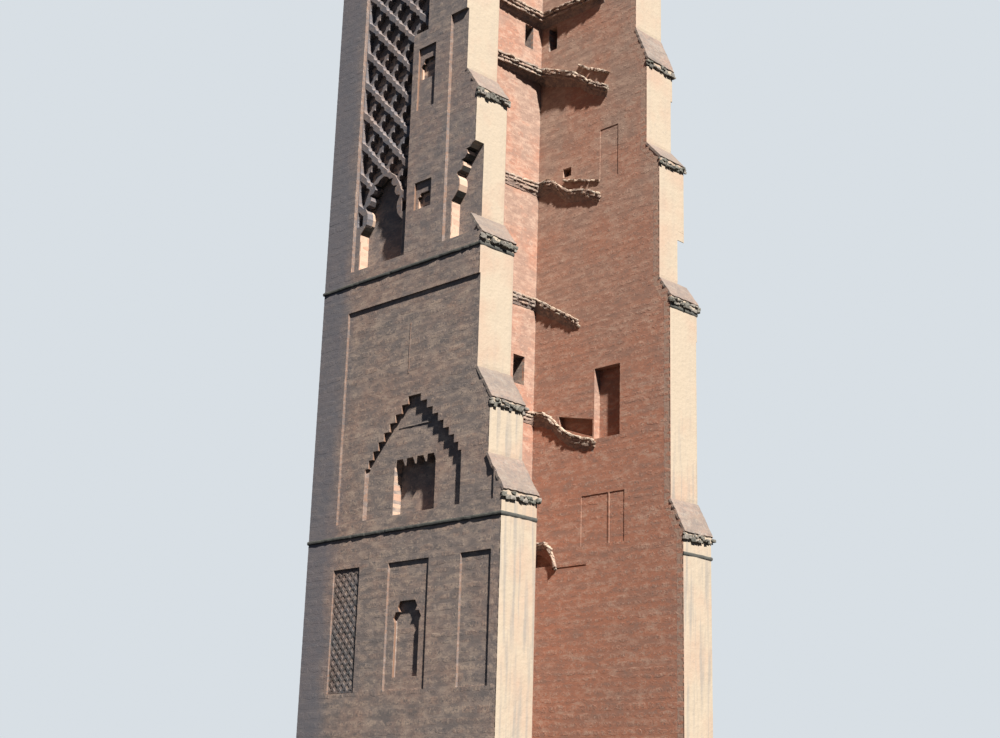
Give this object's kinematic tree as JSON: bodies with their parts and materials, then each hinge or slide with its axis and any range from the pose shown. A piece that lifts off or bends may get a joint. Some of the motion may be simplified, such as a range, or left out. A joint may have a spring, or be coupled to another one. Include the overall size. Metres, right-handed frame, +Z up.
{
  "type": "ruined minaret",
  "caption": "Ruined square minaret of dressed stone, open on one side, with string courses, lobed blind arches, nets of lozenges and a horseshoe gateway.",
  "frame": {"origin": "on the ground, in the middle of the box that the ruin fills", "axes": "+Z up, +Y out of the gateway wall, -Y out of the broken open side"},
  "size_m": [10.1, 9.08, 38],
  "materials": {
    "wall_stone": "weathered dressed limestone in thin courses",
    "carved_stone": "weathered carved limestone",
    "string_stone": "weathered moulded limestone",
    "repair_render": "pale lime render over repair masonry, streaked",
    "vault_rubble": "broken rubble masonry"
  },
  "bodies": {
    "root": {"left_wall_base": "wall_stone", "left_wall_middle": "wall_stone", "left_wall_upper": "wall_stone", "left_wall_crown": "wall_stone", "right_wall_base": "wall_stone", "right_wall_middle": "wall_stone", "right_wall_upper": "wall_stone", "right_wall_crown": "wall_stone", "gateway_left_pier": "wall_stone", "gateway_right_pier": "wall_stone", "gateway_arch": "wall_stone", "front_wall_middle": "wall_stone", "front_wall_upper": "wall_stone", "front_wall_crown": "wall_stone", "lower_string": "string_stone", "upper_string": "string_stone", "crown_string": "string_stone", "left_sebka": "carved_stone", "right_sebka": "carved_stone", "front_sebka": "carved_stone", "left_end_1": "repair_render", "left_end_2": "repair_render", "left_end_3": "repair_render", "left_end_4": "repair_render", "left_end_5": "repair_render", "right_end_1": "repair_render", "right_end_2": "repair_render", "right_end_3": "repair_render", "right_end_4": "repair_render", "right_end_5": "repair_render", "left_vault_stub_1": "vault_rubble", "left_vault_stub_2": "vault_rubble", "left_vault_stub_3": "vault_rubble", "left_vault_stub_4": "vault_rubble", "left_vault_stub_5": "vault_rubble", "left_vault_stub_6": "vault_rubble", "right_vault_stub_1": "vault_rubble", "right_vault_stub_2": "vault_rubble", "right_vault_stub_3": "vault_rubble", "right_vault_stub_4": "vault_rubble", "right_vault_stub_5": "vault_rubble", "right_vault_stub_6": "vault_rubble"}
  },
  "joints": []
}
